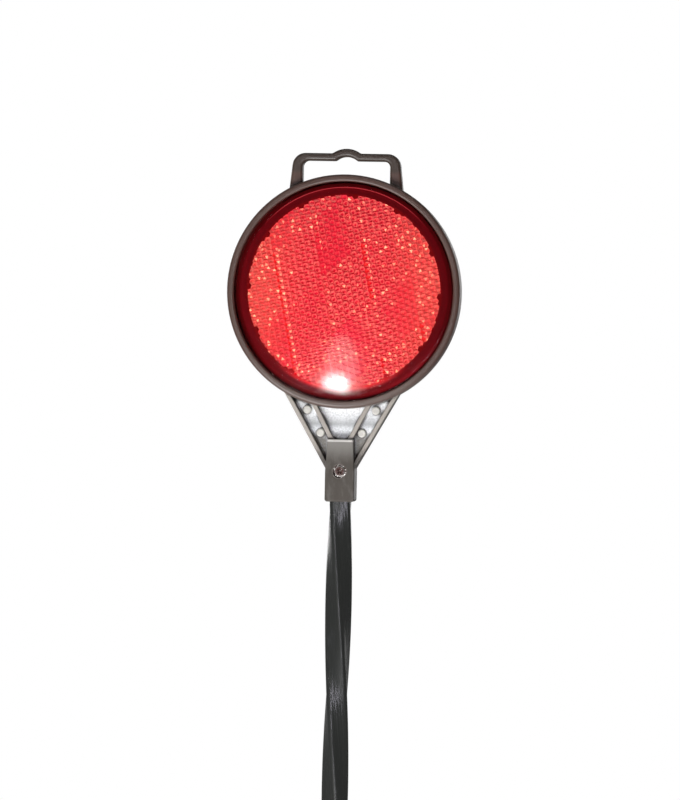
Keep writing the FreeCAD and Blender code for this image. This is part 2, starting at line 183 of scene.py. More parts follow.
class Recipe:
    """One material, with a short method for each kind of node used."""

    def __init__(self, name):
        self.material = bpy.data.materials.new(name)
        self.material.use_nodes = True
        self.tree = self.material.node_tree
        self.tree.nodes.clear()
        coordinates = self.tree.nodes.new("ShaderNodeTexCoord")
        self.position = coordinates.outputs["Object"]

    def node(self, kind, inputs=(), **settings):
        made = self.tree.nodes.new(kind)
        for key, value in settings.items():
            setattr(made, key, value)
        for key, value in dict(inputs).items():
            if isinstance(value, bpy.types.NodeSocket):
                self.tree.links.new(value, made.inputs[key])
            else:
                made.inputs[key].default_value = value
        return made

    def math(self, operation, a, b=0.0, clamp=False):
        return self.node("ShaderNodeMath", {0: a, 1: b}, operation=operation, use_clamp=clamp).outputs[0]

    def both(self, first, *others):
        """Where all the masks overlap."""
        overlap = first
        for mask in others:
            overlap = self.math("MULTIPLY", overlap, mask)
        return overlap

    def axes(self):
        split = self.node("ShaderNodeSeparateXYZ", {0: self.position})
        return split.outputs[0], split.outputs[1], split.outputs[2]

    def radius(self, height):
        """Distance from the front-to-back axis at a height."""
        x, _, z = self.axes()
        up = self.math("SUBTRACT", z, height)
        squares = self.math("ADD", self.math("MULTIPLY", x, x), self.math("MULTIPLY", up, up))
        return self.math("SQRT", squares)

    def facing(self):
        """1 on faces that look to the front or back and 0 on side walls."""
        normal = self.node("ShaderNodeNewGeometry").outputs["Normal"]
        split = self.node("ShaderNodeSeparateXYZ", {0: normal})
        return self.spread(self.math("ABSOLUTE", split.outputs[1]), 0.5, 0.8)

    def noise(self, size, detail=3.0, stretch=(1, 1, 1), roughness=0.5, offset=0.0):
        """Noise whose blobs are about size across, in metres."""
        place = self.node(
            "ShaderNodeMapping",
            {"Vector": self.position, "Scale": stretch, "Location": (offset, offset, offset)},
        )
        return self.node(
            "ShaderNodeTexNoise",
            {
                "Vector": place.outputs[0],
                "Scale": 1.0 / size,
                "Detail": detail,
                "Roughness": roughness,
            },
        ).outputs["Fac"]

    def spread(self, value, low, high, to_low=0.0, to_high=1.0):
        """value's run from low to high, turned smoothly into to_low to to_high."""
        return self.node(
            "ShaderNodeMapRange",
            {0: value, 1: low, 2: high, 3: to_low, 4: to_high},
            interpolation_type="SMOOTHSTEP",
        ).outputs[0]

    def mix(self, share, a, b):
        """Colour a, turned into colour b by share."""
        made = self.node("ShaderNodeMix", data_type="RGBA", blend_type="MIX")
        for key, value in ((0, share), (6, a), (7, b)):
            if isinstance(value, bpy.types.NodeSocket):
                self.tree.links.new(value, made.inputs[key])
            elif key:
                made.inputs[key].default_value = (*value, 1.0)
            else:
                made.inputs[key].default_value = value
        return made.outputs[2]

    def ramp(self, value, *stops):
        """value turned into colour by stops, which are pairs of a value and a colour."""
        made = self.node("ShaderNodeValToRGB", {0: value})
        elements = made.color_ramp.elements
        while len(elements) < len(stops):
            elements.new(1.0)
        for element, (place, colour) in zip(elements, stops):
            element.position = place
            element.color = (*colour, 1.0)
        return made.outputs[0]

    def attribute(self, name):
        return self.node("ShaderNodeAttribute", attribute_name=name).outputs["Fac"]

    def bump(self, height, distance, strength, normal=None):
        inputs = {"Height": height, "Distance": distance, "Strength": strength}
        if normal is not None:
            inputs["Normal"] = normal
        return self.node("ShaderNodeBump", inputs).outputs[0]

    def edges(self, radius):
        """1 on sharp outside edges and 0 on flats, within radius metres of the edge."""
        rounded = self.node("ShaderNodeBevel", {"Radius": radius}, samples=6).outputs[0]
        plain = self.node("ShaderNodeNewGeometry").outputs["Normal"]
        turned = self.node("ShaderNodeVectorMath", {0: rounded, 1: plain}, operation="DOT_PRODUCT")
        return self.spread(turned.outputs["Value"], 0.995, 0.85)

    def crevices(self, reach):
        """1 at the foot of a wall and 0 in the open, looking reach metres around; used to paint shade
        there.
        """
        occlusion = self.node("ShaderNodeAmbientOcclusion", {"Distance": reach}, samples=8)
        return self.spread(occlusion.outputs["AO"], 0.88, 0.56)

    def principled(self, colour, roughness, normal=None, specular=0.5, metallic=0.0):
        inputs = {
            "Base Color": colour,
            "Roughness": roughness,
            "Specular IOR Level": specular,
            "Metallic": metallic,
        }
        if normal is not None:
            inputs["Normal"] = normal
        return self.node("ShaderNodeBsdfPrincipled", inputs).outputs[0]

    def finish(self, surface):
        output = self.node("ShaderNodeOutputMaterial")
        self.tree.links.new(surface, output.inputs["Surface"])
        return self.material


# ---------------------------------------------------------------- materials


def housing_zones(make, head_height, rim_radius):
    """Masks for the places that look different, and how far a point is below the head's centre. The
    corners mask is painted shade at the foot of walls and in crevices.
    """
    x, y, z = make.axes()
    aside = make.math("ABSOLUTE", x)
    depth = make.math("ABSOLUTE", y)
    below = make.math("SUBTRACT", head_height, z)
    past_rim = make.spread(make.radius(head_height), rim_radius, rim_radius + RIM_EDGE)
    neck = make.both(past_rim, make.spread(below, *NECK_BELOW))
    rib_tops = make.both(make.spread(depth, *RIB_TOP_DEPTH), make.spread(depth, *RIB_OVER_DEPTH))
    open_web = make.both(make.spread(aside, *OPEN_WEB_ASIDE), make.spread(below, *OPEN_WEB_BELOW))
    open_foot = make.both(make.spread(aside, *OPEN_FOOT_ASIDE), make.spread(below, *OPEN_FOOT_BELOW))
    closed = make.math("SUBTRACT", 1.0, make.math("MAXIMUM", open_web, open_foot))
    return {
        "below": below,
        "neck": neck,
        "web": make.both(neck, make.spread(depth, *WEB_DEPTH), make.facing()),
        "rib_tops": make.both(neck, rib_tops, make.spread(below, *RIB_END_BELOW)),
        "block": make.both(
            make.spread(below, *BLOCK_BELOW),
            make.spread(depth, *BLOCK_DEPTH),
            make.spread(aside, *BLOCK_ASIDE),
        ),
        "pockets": make.both(make.spread(below, *POCKET_BELOW), make.spread(aside, *POCKET_ASIDE)),
        # Painted shade at the foot of walls, kept off the open web.
        "corners": make.both(make.crevices(CREVICE_REACH), closed),
    }


def housing_brown(make, zones, blotch, scratches):
    """The rim's brown: darker on the loop, lighter low on the rim as painted light from below, and
    greyer on the neck.
    """
    brown = make.mix(blotch, (0.066, 0.035, 0.027), (0.090, 0.050, 0.040))
    brown = make.mix(make.spread(scratches, 0.62, 0.75, 0.0, 0.25), brown, (0.17, 0.14, 0.125))
    brown = make.mix(make.spread(zones["below"], *LOOP_BELOW), brown, (0.047, 0.032, 0.025))
    # Painted light: the low rim is lightened as if lit from below.
    low_rim_light = make.spread(zones["below"], *LOW_RIM_BELOW, 0.0, 0.35)
    brown = make.mix(low_rim_light, brown, (0.17, 0.135, 0.12))
    return make.mix(zones["neck"], brown, (0.078, 0.067, 0.058))


def block_grey(make, zones, blotch):
    """The socket block's streaky grey, with painted light that makes it lighter upwards and a painted
    highlight along its top edge.
    """
    streaks = make.noise(0.0030, 5.0, stretch=(1.5, 1, 0.5), roughness=0.65)
    grey = make.mix(blotch, (0.060, 0.052, 0.045), (0.094, 0.083, 0.073))
    grey = make.mix(make.spread(streaks, 0.45, 0.72, 0.0, 0.5), grey, (0.15, 0.14, 0.13))
    # Painted light towards the top, and a painted highlight on the top edge.
    grey = make.mix(make.spread(zones["below"], *BLOCK_LIGHT_BELOW), grey, (0.215, 0.203, 0.188))
    return make.mix(make.spread(zones["below"], *BLOCK_EDGE_BELOW), grey, (0.62, 0.60, 0.57))


def web_pale_and_sheen(make, zones, blotch):
    """The web's pale polished colour, partly painted reflection of a lamp, with painted highlight bands
    at its top and foot and painted shade in the pockets beside the block.
    """
    pale_and_sheen = make.mix(blotch, (0.30, 0.31, 0.325), (0.42, 0.43, 0.44))
    # Painted highlights: bright bands at the top and the foot of the web.
    pale_and_sheen = make.mix(make.spread(zones["below"], *WEB_BRIGHT_BELOW), pale_and_sheen, (0.92, 0.93, 0.94))
    pale_and_sheen = make.mix(make.spread(zones["below"], *WEB_FOOT_BELOW), pale_and_sheen, (0.95, 0.97, 1.0))
    # Painted shade in the pockets beside the block.
    pale_and_sheen = make.mix(zones["pockets"], pale_and_sheen, (0.17, 0.155, 0.135))
    specks = make.spread(make.noise(0.0007, 2.0), 0.40, 0.65, 0.0, 0.35)
    return make.mix(specks, pale_and_sheen, (0.30, 0.31, 0.32))


def housing_plastic(head_height, rim_radius):
    """Satin brown moulding, with a polished web in the neck that carries painted reflection and
    highlights, pale rib tops, painted shade at the foot of walls, and lighter edges that are partly wear
    and partly painted highlight.
    """
    make = Recipe("housing_plastic")
    zones = housing_zones(make, head_height, rim_radius)
    blotch = make.noise(0.012, 4.0)
    grain = make.noise(0.0005, 2.0)
    scratches = make.noise(0.0012, 5.0, stretch=(6, 1, 0.25), roughness=0.7)

    brown = housing_brown(make, zones, blotch, scratches)
    colour = make.mix(zones["block"], brown, block_grey(make, zones, blotch))
    cream = make.mix(blotch, (0.28, 0.25, 0.22), (0.44, 0.40, 0.36))
    colour = make.mix(zones["rib_tops"], colour, cream)
    colour = make.mix(zones["web"], colour, web_pale_and_sheen(make, zones, blotch))
    # Painted shade: the foot of every wall and the crevices are darkened.
    colour = make.mix(zones["corners"], colour, (0.040, 0.032, 0.027))
    # Lighter sharp edges: partly rubbed wear, partly a painted highlight along the edges.
    edge_wear_and_highlight = make.both(make.edges(0.0006), make.spread(scratches, 0.40, 0.60, 0.25, 0.9))
    colour = make.mix(edge_wear_and_highlight, colour, (0.30, 0.26, 0.235))

    rough = make.spread(blotch, 0.2, 0.8, 0.36, 0.48)
    rough = make.mix(zones["web"], rough, make.spread(blotch, 0.3, 0.7, 0.16, 0.30))
    rough = make.mix(zones["block"], rough, make.spread(blotch, 0.2, 0.8, 0.52, 0.62))
    normal = make.bump(grain, 0.00006, 0.5)
    normal = make.bump(blotch, 0.0004, 0.15, normal)
    shine = make.spread(zones["block"], 0.0, 1.0, 0.5, 0.12)
    return make.finish(make.principled(colour, rough, normal, specular=shine))


def backing_plastic():
    """Matt dark brown, seen only in the gap behind a lens."""
    make = Recipe("backing_plastic")
    blotch = make.noise(0.008, 4.0)
    grain = make.noise(0.0006, 2.0)
    colour = make.mix(blotch, (0.030, 0.016, 0.014), (0.060, 0.034, 0.030))
    rough = make.spread(blotch, 0.2, 0.8, 0.50, 0.65)
    return make.finish(make.principled(colour, rough, make.bump(grain, 0.00005, 0.5)))


def rivet_plastic():
    """Pale moulded heads, with painted shade round the foot."""
    make = Recipe("rivet_plastic")
    depth = make.math("ABSOLUTE", make.axes()[1])
    blotch = make.noise(0.0016, 4.0)
    pale = make.mix(blotch, (0.42, 0.40, 0.36), (0.72, 0.70, 0.65))
    # Painted shade where the head meets the shell, patchy with the blotch noise.
    foot_shade = make.both(make.spread(depth, 0.0028, 0.0021), make.spread(blotch, 0.3, 0.6, 0.4, 1.0))
    colour = make.mix(foot_shade, pale, (0.10, 0.085, 0.07))
    rough = make.spread(blotch, 0.2, 0.8, 0.25, 0.42)
    return make.finish(make.principled(colour, rough, make.bump(blotch, 0.0002, 0.4)))


def screw_steel(name, rust_amount, height, bright_from):
    """Plated steel at a height, rusty in its hollows and all over inside the radius bright_from."""
    make = Recipe(name)
    blotch = make.noise(0.0011, 5.0, roughness=0.65)
    rusty = make.spread(blotch, 0.62 - rust_amount, 0.74 - rust_amount)
    middle = make.spread(make.radius(height), bright_from + 0.0002, bright_from)
    rusty_middle = make.both(middle, make.spread(blotch, 0.30, 0.45, 0.55, 1.0))
    rusty = make.math("MAXIMUM", rusty, rusty_middle)
    plated = make.mix(make.noise(0.0004, 2.0), (0.55, 0.52, 0.48), (0.80, 0.77, 0.73))
    rust = make.mix(blotch, (0.028, 0.010, 0.009), (0.085, 0.030, 0.022))
    colour = make.mix(rusty, plated, rust)
    metallic = make.math("SUBTRACT", 1.0, rusty)
    rough = make.spread(blotch, 0.3, 0.75, 0.24, 0.8)
    normal = make.bump(blotch, 0.00012, 0.5)
    return make.finish(make.principled(colour, rough, normal, metallic=metallic))


def stake_paint(mouth):
    """Black paint on a drawn bar, with lines along the twist, chipped corners that also carry a painted
    highlight, and a soiled foot.
    """
    make = Recipe("stake_paint")
    height = make.axes()[2]
    turn_per_metre = 2 * math.pi / (TWIST_PITCH * MM)
    turn = make.math("MULTIPLY", make.math("SUBTRACT", height, mouth), turn_per_metre)
    untwisted = {"Vector": make.position, "Angle": turn}
    make.position = make.node("ShaderNodeVectorRotate", untwisted, rotation_type="Z_AXIS").outputs[0]
    drawn = make.noise(0.0011, 2.0, stretch=(1, 1, 0.02))
    blotch = make.noise(0.02, 4.0, stretch=(1, 1, 0.4))
    flow = make.noise(0.004, 3.0, stretch=(1, 1, 0.35))
    fine = make.noise(0.0007, 3.0)
    scratches = make.noise(0.0016, 5.0, stretch=(5, 5, 0.25), roughness=0.7)
    black = make.mix(blotch, (0.015, 0.0165, 0.0160), (0.028, 0.029, 0.027))
    black = make.mix(make.spread(scratches, 0.60, 0.72, 0.0, 0.4), black, (0.07, 0.066, 0.062))
    # Lighter sharp corners: chipped paint, and a painted highlight along the corners.
    chips_and_corner_highlight = make.both(make.edges(0.0007), make.spread(fine, 0.30, 0.60, 0.45, 1.0))
    colour = make.mix(chips_and_corner_highlight, black, (0.26, 0.245, 0.25))
    soil = make.both(make.spread(height, 0.16, 0.02), make.spread(blotch, 0.40, 0.62))
    colour = make.mix(soil, colour, (0.11, 0.075, 0.05))
    rough = make.spread(blotch, 0.2, 0.8, 0.18, 0.26)
    rough = make.math("ADD", rough, make.math("MULTIPLY", soil, 0.45), clamp=True)
    normal = make.bump(drawn, 0.0003, 0.55)
    normal = make.bump(flow, 0.0005, 0.04, normal)
    normal = make.bump(fine, 0.00005, 0.2, normal)
    return make.finish(make.principled(colour, rough, normal))


def lens_front(head_height):
    """The lens's clear red outside: see-through, and glossy like moulded acrylic."""
    make = Recipe("lens_front")
    ripple = make.noise(0.030, 2.0)
    haze = make.noise(0.006, 5.0, roughness=0.7)
    normal = make.bump(ripple, 0.0003, 0.1)
    tint = make.mix(haze, (1.0, 0.50, 0.50), (1.0, 0.58, 0.58))
    clear = make.node("ShaderNodeBsdfTransparent", {"Color": tint}).outputs[0]
    polish = make.spread(haze, 0.3, 0.8, 0.03, 0.045)
    gloss = make.node("ShaderNodeBsdfGlossy", {"Roughness": polish, "Normal": normal}).outputs[0]
    bloom = make.node("ShaderNodeBsdfGlossy", {"Roughness": 0.09, "Normal": normal}).outputs[0]
    shine = make.node("ShaderNodeMixShader", {0: 0.35, 1: gloss, 2: bloom}).outputs[0]
    mirror = make.node("ShaderNodeFresnel", {"IOR": 1.49, "Normal": normal}).outputs[0]
    dull_shoulder = make.spread(make.radius(head_height), 0.0390, 0.0395, 1.0, 0.14)
    mirror = make.math("MULTIPLY", mirror, dull_shoulder)
    return make.finish(make.node("ShaderNodeMixShader", {0: mirror, 1: clear, 2: shine}).outputs[0])


def prism_pattern(make, tile, facet):
    """Rings round each prism's point and along its ridges, in lighter and darker reds: a painted pattern
    of the light the prisms send back.
    """
    line = (0.38, 0.030, 0.032)
    crimson = (0.68, 0.033, 0.115)
    deep = (0.66, 0.010, 0.060)
    pale = (0.86, 0.20, 0.25)
    light = (0.92, 0.60, 0.48)
    wobble = make.math("SUBTRACT", make.noise(0.0011, 2.0), 0.5)
    rings = make.ramp(
        make.math("ADD", make.attribute("inward"), wobble),
        (0.03, line),
        (0.16, crimson),
        (0.34, light),
        (0.50, pale),
        (0.66, crimson),
        (0.84, deep),
        (0.98, line),
    )
    ridges = make.ramp(
        make.math("ADD", make.attribute("ridge"), wobble),
        (0.02, line),
        (0.18, crimson),
        (0.42, light),
        (0.60, pale),
        (0.82, crimson),
        (0.98, line),
    )
    other_tile = make.math("FRACT", make.math("MULTIPLY", tile, 7.31))
    colour = make.mix(make.spread(other_tile, 0.0, 1.0, 0.30, 0.80), rings, ridges)
    plain = make.ramp(facet, (0.0, deep), (0.45, crimson), (0.75, pale), (1.0, light))
    return make.mix(0.28, colour, plain)


def lens_prisms():
    """The prism facets as seen through the lens: painted light shades them facet by facet and tile by
    tile, painted specks and glints lie on them, and an emission glow paints the light they send back.
    """
    make = Recipe("lens_prisms")
    aside = make.math("ABSOLUTE", make.axes()[0])
    tile = make.attribute("tile")
    facet = make.attribute("facet")
    colour = prism_pattern(make, tile, facet)
    # Painted highlights: small pale specks of reflected light.
    speck = make.spread(make.noise(0.0010, 2.0, offset=3.0), 0.58, 0.74, 0.0, 0.55)
    colour = make.mix(speck, colour, (0.95, 0.68, 0.48))
    patches = make.spread(make.noise(0.012, 2.0), 0.40, 0.60)
    calm = make.both(make.spread(tile, 0.45, 0.80), patches, 0.62)
    colour = make.mix(calm, colour, (0.74, 0.045, 0.13))
    warm = make.spread(aside, 0.012, 0.036, 0.0, 0.30)
    colour = make.mix(warm, colour, (0.92, 0.42, 0.27))
    colour = make.mix(make.both(make.attribute("seam"), 0.75), colour, (0.80, 0.004, 0.016))
    # Painted glints on one half facet of some prisms.
    spark = make.both(make.attribute("glint"), make.spread(make.attribute("inward"), 0.08, 0.24))
    colour = make.mix(spark, colour, (1.0, 0.86, 0.50))
    # Emission standing in for the light the prisms send back, brighter on the glints.
    glow = make.math("ADD", 0.26, make.math("MULTIPLY", spark, 0.90))
    inputs = {
        "Base Color": colour,
        "Roughness": make.spread(facet, 0.0, 1.0, 0.30, 0.45),
        "Specular IOR Level": 0.2,
        "Normal": make.bump(make.noise(0.0004, 2.0), 0.00004, 0.4),
        "Emission Color": colour,
        "Emission Strength": glow,
    }
    return make.finish(make.node("ShaderNodeBsdfPrincipled", inputs).outputs[0])


def lens_band(head_height):
    """The plain ring round the prisms: clear plastic with only the dark housing behind it. Its lower
    edge and an upper band get painted light, a thin arc at the top a painted highlight, and a painted
    red glow lies below the prisms.
    """
    make = Recipe("lens_band")
    up = make.math("SUBTRACT", make.axes()[2], head_height)
    radius = make.radius(head_height)
    blotch = make.noise(0.004, 4.0)
    near = make.mix(blotch, (0.15, 0.006, 0.010), (0.26, 0.010, 0.016))
    middle = make.mix(blotch, (0.105, 0.006, 0.014), (0.150, 0.008, 0.020))
    edge = make.mix(blotch, (0.055, 0.004, 0.007), (0.080, 0.006, 0.010))
    # Painted light: the outer edge is lighter towards the bottom.
    edge = make.mix(make.spread(up, -0.014, -0.034), edge, (0.22, 0.015, 0.030))
    colour = make.mix(make.spread(radius, 0.0366, 0.0378), near, middle)
    colour = make.mix(make.spread(radius, 0.0392, 0.0402), colour, edge)

    # Painted light: a lighter band in the upper part of the ring.
    wide_ring = make.both(make.spread(radius, 0.0376, 0.0392), make.spread(radius, 0.0402, 0.0397))
    upper = make.both(make.spread(up, 0.010, 0.034), make.spread(blotch, 0.25, 0.6, 0.5, 1.0))
    colour = make.mix(make.both(wide_ring, upper), colour, (0.16, 0.009, 0.022))
    # Painted highlight: a thin bright arc on the shoulder at the top.
    thin_ring = make.both(make.spread(radius, 0.0394, 0.0395), make.spread(radius, 0.0398, 0.0397))
    top = make.spread(up, 0.024, 0.036)
    colour = make.mix(make.both(thin_ring, top), colour, (0.62, 0.16, 0.20))
    # Painted glow: red light below the prisms, under the lens's hot spot.
    bottom = make.both(make.spread(up, -0.0270, -0.0365), make.spread(radius, 0.0386, 0.0368))
    colour = make.mix(bottom, colour, (0.90, 0.06, 0.09))

    rough = make.spread(blotch, 0.2, 0.8, 0.30, 0.45)
    normal = make.bump(blotch, 0.0002, 0.2)
    return make.finish(make.principled(colour, rough, normal, specular=0.03))


# ---------------------------------------------------------------- mesh helpers


def add_object(name, data):
    """A new object in the scene."""
    thing = bpy.data.objects.new(name, data)
    bpy.context.scene.collection.objects.link(thing)
    return thing


def new_piece(name, vertices, faces, material_numbers, materials, smooth):
    """A mesh object in metres from millimetre vertices; smooth says which faces are shaded round."""
    mesh = bpy.data.meshes.new(name)
    mesh.from_pydata([Vector(v) * MM for v in vertices], [], faces)
    for material in materials:
        mesh.materials.append(material)
    mesh.polygons.foreach_set("material_index", material_numbers)
    mesh.polygons.foreach_set("use_smooth", smooth)
    mesh.update()
    return add_object(name, mesh)


def stand_for(piece, node, body, sharp_degrees):
    """Turns a closed piece's faces outwards, keeps its sharp edges and puts it in a node's place."""
    work = bmesh.new()
    work.from_mesh(piece.data)
    bmesh.ops.recalc_face_normals(work, faces=work.faces)
    work.to_mesh(piece.data)
    work.free()
    piece.data.set_sharp_from_angle(angle=math.radians(sharp_degrees))
    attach(piece, body)
    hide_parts(node)


def ring_points(turns, radius, depth):
    """A ring of (across, up, depth) points."""
    return [(radius * math.cos(turn), radius * math.sin(turn), depth) for turn in turns]


def turned(x, y, turn):
    """A point turned about the origin."""
    return x * math.cos(turn) - y * math.sin(turn), x * math.sin(turn) + y * math.cos(turn)


def loft(rings, closed_start=True):
    """Faces joining equal rings of vertices, numbered ring by ring, with a flat face on the ends."""
    count = len(rings[0])
    vertices = [point for ring in rings for point in ring]
    faces = []
    for row in range(len(rings) - 1):
        for column in range(count):
            beside = (column + 1) % count
            faces.append(
                (
                    row * count + column,
                    row * count + beside,
                    (row + 1) * count + beside,
                    (row + 1) * count + column,
                )
            )
    if closed_start:
        faces.append(tuple(reversed(range(count))))
    last = (len(rings) - 1) * count
    faces.append(tuple(range(last, last + count)))
    return vertices, faces


# ---------------------------------------------------------------- lens


def prism_lattice():
    """Two steps of the prism pattern, one pitch long and 60 degrees apart, as complex numbers."""
    return [cmath.rect(PRISM_PITCH, PRISM_ROW_ANGLE + turn) for turn in (0.0, math.pi / 3)]


def prism_cells():
    """The place and tile of every prism, and which kind of seam between tiles it stands on."""
    first, second = prism_lattice()
    reach = int(PRISM_AREA_RADIUS / PRISM_PITCH * 1.3) + 1
    cells = []
    for i in range(-reach, reach + 1):
        for j in range(-reach, reach + 1):
            centre = first * i + second * j
            if abs(centre) < PRISM_AREA_RADIUS:
                column, across = divmod(i + j + 3, TILE_COLUMNS)
                row, along = divmod(i + 4, TILE_ROWS)
                seam = "steep" if across == 0 else "slanting" if along == 0 else "none"
                cells.append((centre, (column, row), seam))
    return cells


def tile_look(tile):
    """How one tile's prisms lean and how bright they are, the same each time for the same tile."""
    chance = random.Random(f"{SEED} tile {tile}")
    lean = chance.uniform(0, 2 * math.pi)
    return {
        "cant": cmath.rect(CANT * PRISM_PITCH, lean),
        "tile": chance.random(),
        "lit_from": chance.uniform(0, 2 * math.pi),
        "seam": chance.choice((0.0, 0.2, 0.9)),
        "sparkle": chance.choice((0.04, 0.10, 0.32)),
    }


class LensMesh:
    """Collects a lens as points (across, depth, up) in millimetres from the head's centre."""

    OUTSIDE, PRISM, BAND = 0, 1, 2
    MARKS = ("tile", "facet", "glint", "seam")

    def __init__(self):
        self.vertices = []
        self.numbers = {}
        self.faces = []
        self.kinds = []
        self.marks = {name: [] for name in self.MARKS}
        self.inward = []
        self.ridge = []

    def vertex(self, across, depth, up):
        """The number of the point here, made if it is new."""
        key = (round(across, 4), round(depth, 4), round(up, 4))
        if key not in self.numbers:
            self.numbers[key] = len(self.vertices)
            self.vertices.append((across, depth, up))
        return self.numbers[key]

    def face(self, corners, kind, inward=None, ridge=None, **marks):
        """A face with marks of its own, and with two marks that vary from corner to corner."""
        self.faces.append(tuple(corners))
        self.kinds.append(kind)
        self.inward += inward or [0.0] * len(corners)
        self.ridge += ridge or [0.0] * len(corners)
        for name in self.MARKS:
            self.marks[name].append(marks.get(name, 0.0))


def lens_outline(radius, face_depth, back_depth):
    """Radius and depth pairs, from the edge of the flat face round to the back plane."""
    rounding = 5
    shoulder = SHOULDER_RADIUS - FACE_RADIUS
    outline = [(FACE_RADIUS * share, face_depth) for share in (0.5, 0.9, 0.97, 0.995)]
    quarter = [math.pi / 2 * step / rounding for step in range(rounding + 1)]
    for turn in quarter:
        out = 0.7 * math.sin(turn)
        down = 0.5 * (1 - math.cos(turn))
        outline.append((FACE_RADIUS + shoulder * out, face_depth - SHOULDER_DROP * down))
    for turn in quarter[1:]:
        out = 0.7 + 0.3 * (1 - math.cos(turn))
        down = 0.5 + 0.5 * math.sin(turn)
        outline.append((FACE_RADIUS + shoulder * out, face_depth - SHOULDER_DROP * down))
    outline.append((STEP_RADIUS, face_depth - SHOULDER_DROP))
    outline.append((STEP_RADIUS, face_depth - FLANGE_DROP))
    outline.append((radius, face_depth - FLANGE_DROP))
    outline.append((radius, back_depth))
    outline.append((radius - SKIRT_WIDTH, back_depth))
    outline.append((radius - SKIRT_WIDTH, face_depth - PRISM_PLANE_DROP))
    return outline


def add_turned_outside(lens, outline):
    """All of the lens but its prisms and band; returns the inner ring of the back plane."""
    turns = [2 * math.pi * step / LENS_SEGMENTS for step in range(LENS_SEGMENTS)]
    rings = []
    for radius, depth in outline:
        ring = ring_points(turns, radius, depth)
        rings.append([lens.vertex(across, depth, up) for across, up, _ in ring])
    middle = lens.vertex(0.0, outline[0][1], 0.0)
    hidden_from = len(outline) - 2
    for column in range(LENS_SEGMENTS):
        beside = (column + 1) % LENS_SEGMENTS
        lens.face((middle, rings[0][column], rings[0][beside]), lens.OUTSIDE)
        for row in range(len(rings) - 1):
            kind = lens.BAND if row >= hidden_from else lens.OUTSIDE
            here, there = rings[row], rings[row + 1]
            lens.face((here[column], there[column], there[beside], here[beside]), kind)
    return rings[-1]


def cut_at_border(points):
    """The part of a flat facet inside the border, which has one straight side per lens segment.

    A point is (across, depth, up, inward, ridge), and all five are carried along to the cut.
    """
    reach = PRISM_BORDER_RADIUS * math.cos(math.pi / LENS_SEGMENTS)
    if all(math.hypot(point[0], point[2]) < reach for point in points):
        return points
    for side in range(LENS_SEGMENTS):
        turn = 2 * math.pi * (side + 0.5) / LENS_SEGMENTS
        beyond = [point[0] * math.cos(turn) + point[2] * math.sin(turn) - reach for point in points]
        kept = []
        for number, point in enumerate(points):
            before = points[number - 1]
            if (beyond[number] > 0) != (beyond[number - 1] > 0):
                share = beyond[number - 1] / (beyond[number - 1] - beyond[number])
                kept.append(tuple(a + (b - a) * share for a, b in zip(before, point)))
            if beyond[number] <= 0:
                kept.append(point)
        points = kept
    return points


def add_facet(lens, points, marks, border):
    """One facet, cut at the border circle; border keeps the edges that no second facet shares."""
    points = cut_at_border(points)
    numbers = [lens.vertex(*point[:3]) for point in points]
    points = [point for at, point in enumerate(points) if numbers[at] != numbers[at - 1]]
    numbers = [number for at, number in enumerate(numbers) if number != numbers[at - 1]]
    if len(numbers) < 3:
        return
    lens.face(
        numbers,
        lens.PRISM,
        inward=[point[3] for point in points],
        ridge=[point[4] for point in points],
        **marks,
    )
    for at in range(len(numbers)):
        one, two = numbers[at - 1], numbers[at]
        if (two, one) in border:
            del border[(two, one)]
        else:
            border[(one, two)] = (points[at - 1], points[at])


def prism_points(centre, apex_place, plane_depth, directions):
    """A prism's apex and six base corners, of which every second one lies lower."""
    apex = (apex_place.real, plane_depth - PRISM_DEPTH, apex_place.imag, 1.0, 1.0)
    corners = []
    for number, direction in enumerate(directions):
        corner = centre + cmath.rect(PRISM_PITCH / math.sqrt(3), direction)
        drop = PRISM_DEPTH / 2 if number % 2 else 0.0
        on_ridge = 1.0 if number % 3 == 0 else 0.0
        corners.append((corner.real, plane_depth - drop, corner.imag, 0.0, on_ridge))
    return apex, corners


def glint_chance(centre, look, seam):
    """How likely a prism is to have a glinting half facet: more so on seams and at the border."""
    fewest, more = STEEP_SEAM_GLINTS
    likely = {
        "steep": fewest + more * look["seam"],
        "slanting": SLANTING_SEAM_GLINTS,
        "none": look["sparkle"],
    }[seam]
    at_border = abs(centre) > BORDER_FROM * PRISM_AREA_RADIUS
    return max(likely, BORDER_GLINTS) if at_border else likely


def half_facet_marks(chance, look, seam, likely, directions):
    """The marks of a prism's six half facets. The two halves of a facet are equally bright."""
    jitter = [chance.uniform(-LIGHT_JITTER, LIGHT_JITTER) for facet in range(3)]
    glinting = 5 if seam == "steep" else chance.randrange(6)
    glint = chance.uniform(*GLINT_RANGE) if chance.random() < likely else 0.0
    marks = []
    for number in range(6):
        facet = (number + 1) // 2 % 3
        # Painted light: each facet is lighter the more it faces the tile's painted light direction,
        # lit_from.
        towards_light = math.cos(directions[2 * facet] - look["lit_from"])
        brightness = 0.5 + LIGHT_SPREAD * towards_light + jitter[facet]
        marks.append(
            {
                "tile": look["tile"],
                "facet": min(1.0, max(0.0, brightness)),
                "glint": glint if number == glinting else 0.0,
                "seam": look["seam"] if seam == "steep" and number in (2, 3) else 0.0,
            }
        )
    return marks


